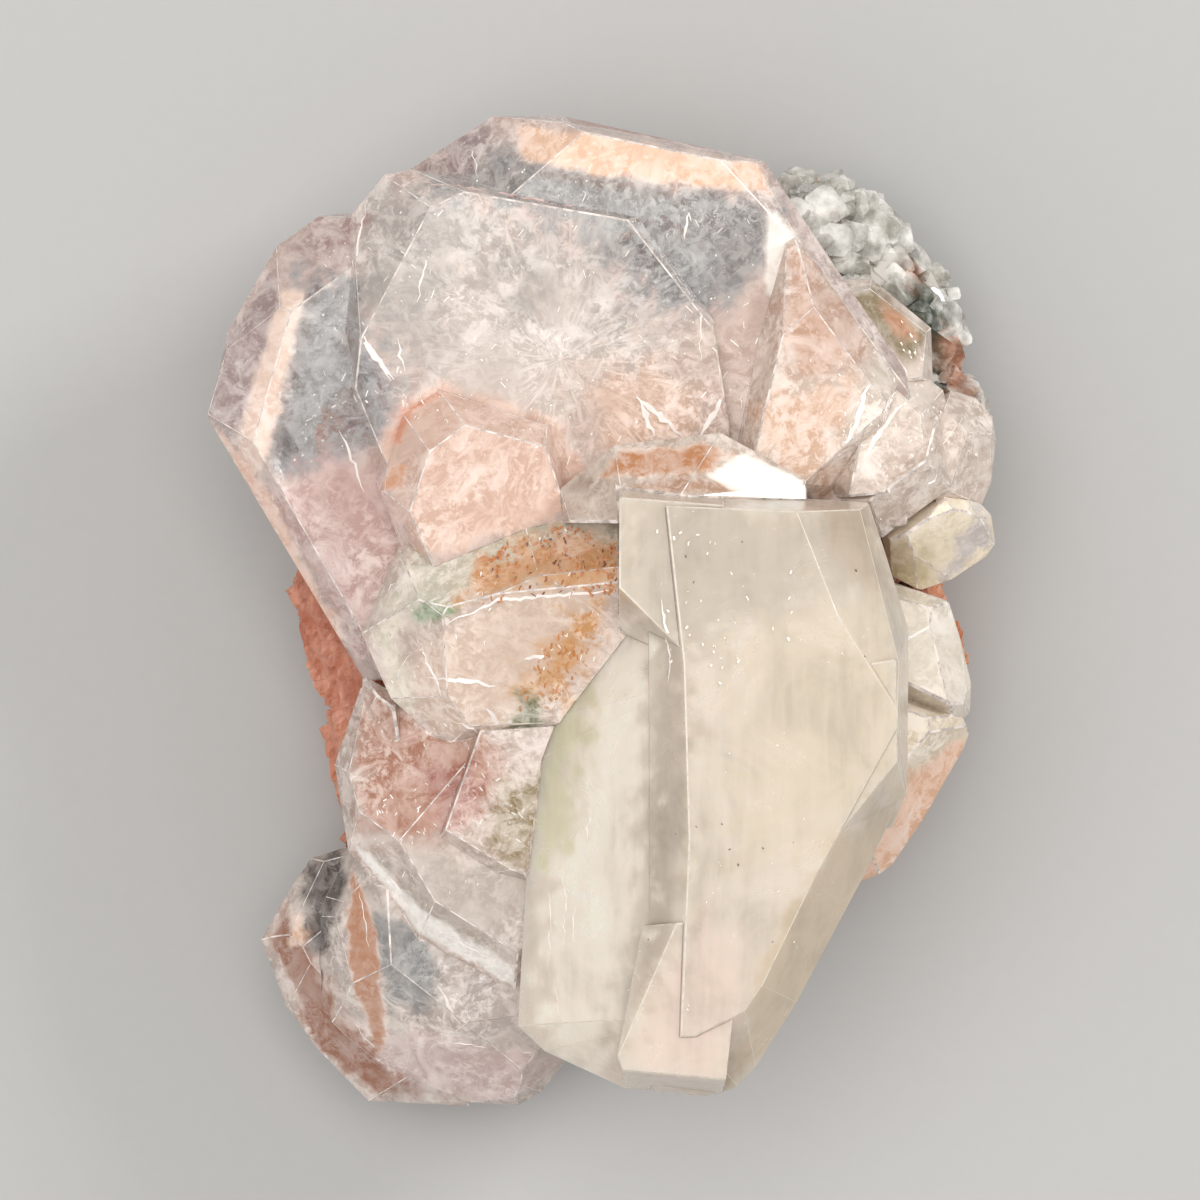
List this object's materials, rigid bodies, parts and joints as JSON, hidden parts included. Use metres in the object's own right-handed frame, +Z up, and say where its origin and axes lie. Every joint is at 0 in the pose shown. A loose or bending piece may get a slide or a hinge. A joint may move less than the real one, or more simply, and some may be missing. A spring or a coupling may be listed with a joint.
{
  "type": "apophyllite with stilbite specimen",
  "caption": "Cabinet mineral specimen: clear and milky apophyllite crystals grown on salmon stilbite, with a druse along one edge, lying on its flat break.",
  "frame": {"origin": "under the middle of the bounding box, on the flat break that the specimen lies on", "axes": "+Z up out of the break towards the display face, +Y towards the crown's top edge (the picture's up), +X to the display face's right"},
  "size_m": [0.053, 0.0666, 0.0348],
  "materials": {
    "milky_apophyllite": "cloudy beige crystal, translucent, vitreous faces with faint striations",
    "clear_apophyllite": "colourless to pale pink clear crystal with white veils, vitreous polish",
    "stilbite": "salmon to peach blades, pearly on the flat, finely ribbed",
    "druse": "small clear to grey-green crystals on peach and dark green"
  },
  "bodies": {
    "root": {"apophyllite_milky_block": "milky_apophyllite", "apophyllite_ridge": "clear_apophyllite", "apophyllite_window": "clear_apophyllite", "apophyllite_shelf": "clear_apophyllite", "apophyllite_crown": "clear_apophyllite", "apophyllite_shoulder": "clear_apophyllite", "apophyllite_edge_upper": "clear_apophyllite", "apophyllite_edge_middle": "clear_apophyllite", "apophyllite_edge_lower": "clear_apophyllite", "apophyllite_foot": "clear_apophyllite", "stilbite_mass": "stilbite", "druse_crust": "druse"}
  },
  "joints": []
}
